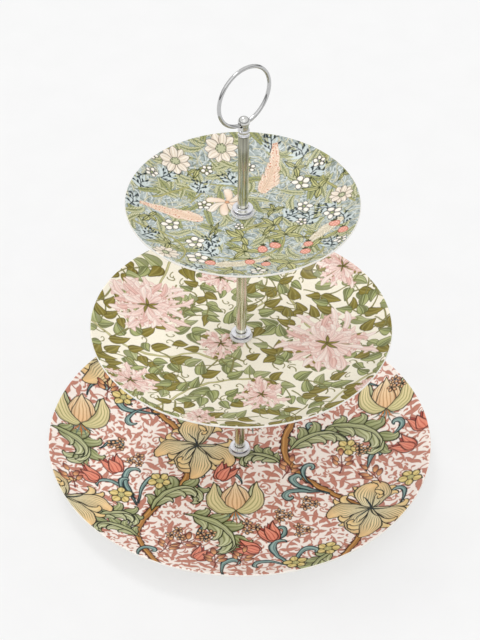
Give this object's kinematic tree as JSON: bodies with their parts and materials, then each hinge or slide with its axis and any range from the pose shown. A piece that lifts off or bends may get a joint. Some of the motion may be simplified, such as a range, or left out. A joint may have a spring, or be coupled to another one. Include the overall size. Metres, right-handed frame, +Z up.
{
  "type": "tiered cake stand",
  "caption": "Round coupe plates of falling size clamped one above another on a slim screwed steel column with flanged feet, topped by a ball eye and a swinging ring handle.",
  "frame": {"origin": "on the surface the stand rests on, on the column's axis, which is the centre of every plate", "axes": "+Z up along the column; the ring handle stands in the XZ plane and swings about an axis along X"},
  "size_m": [0.267, 0.267, 0.3337],
  "materials": {
    "bottom_china": "glossy glazed bone china, all-over floral print in rose, ochre, olive and teal on cream",
    "middle_china": "glossy glazed bone china, all-over floral print in olive and pale pink on cream",
    "top_china": "glossy glazed bone china, all-over floral print in sage and peach on pale blue-grey",
    "polished_steel": "mirror polished",
    "plated_steel": "zinc plated",
    "clear_washer": "clear, slightly milky",
    "soft_washer": "matt, off-white"
  },
  "bodies": {
    "base": {"bottom_plate": "bottom_china", "foot_bolt": "plated_steel", "foot_washer": "plated_steel", "foot_pad": "soft_washer", "lower_cushion": "clear_washer"},
    "lower_column": {"lower_flange": "polished_steel", "lower_rod": "polished_steel", "lower_stud": "plated_steel", "lower_washer": "polished_steel"},
    "middle_tier": {"middle_pad": "soft_washer", "middle_plate": "middle_china", "middle_cushion": "clear_washer"},
    "middle_column": {"middle_flange": "polished_steel", "middle_rod": "polished_steel", "middle_stud": "plated_steel", "middle_washer": "polished_steel"},
    "top_tier": {"top_pad": "soft_washer", "top_plate": "top_china", "upper_cushion": "clear_washer"},
    "upper_column": {"upper_flange": "polished_steel", "upper_rod": "polished_steel", "finial_collar": "polished_steel", "finial": "polished_steel"},
    "ring": {"ring_handle": "polished_steel"}
  },
  "joints": [
    {"name": "lower_rod_screw", "type": "hinge", "parent": "base", "child": "lower_column", "pos_m": [0, 0, 0.0137], "axis": [0, 0, 1], "continuous": true},
    {"name": "middle_plate_turn", "type": "hinge", "parent": "lower_column", "child": "middle_tier", "pos_m": [0, 0, 0.1104], "axis": [0, 0, 1], "continuous": true},
    {"name": "middle_rod_screw", "type": "hinge", "parent": "lower_column", "child": "middle_column", "pos_m": [0, 0, 0.1191], "axis": [0, 0, 1], "continuous": true},
    {"name": "top_plate_turn", "type": "hinge", "parent": "middle_column", "child": "top_tier", "pos_m": [0, 0, 0.2158], "axis": [0, 0, 1], "continuous": true},
    {"name": "upper_rod_screw", "type": "hinge", "parent": "middle_column", "child": "upper_column", "pos_m": [0, 0, 0.2251], "axis": [0, 0, 1], "continuous": true},
    {"name": "ring_swing", "type": "hinge", "parent": "upper_column", "child": "ring", "pos_m": [0, 0, 0.2906], "axis": [1, 0, 0], "range_deg": [-172, 172]}
  ]
}
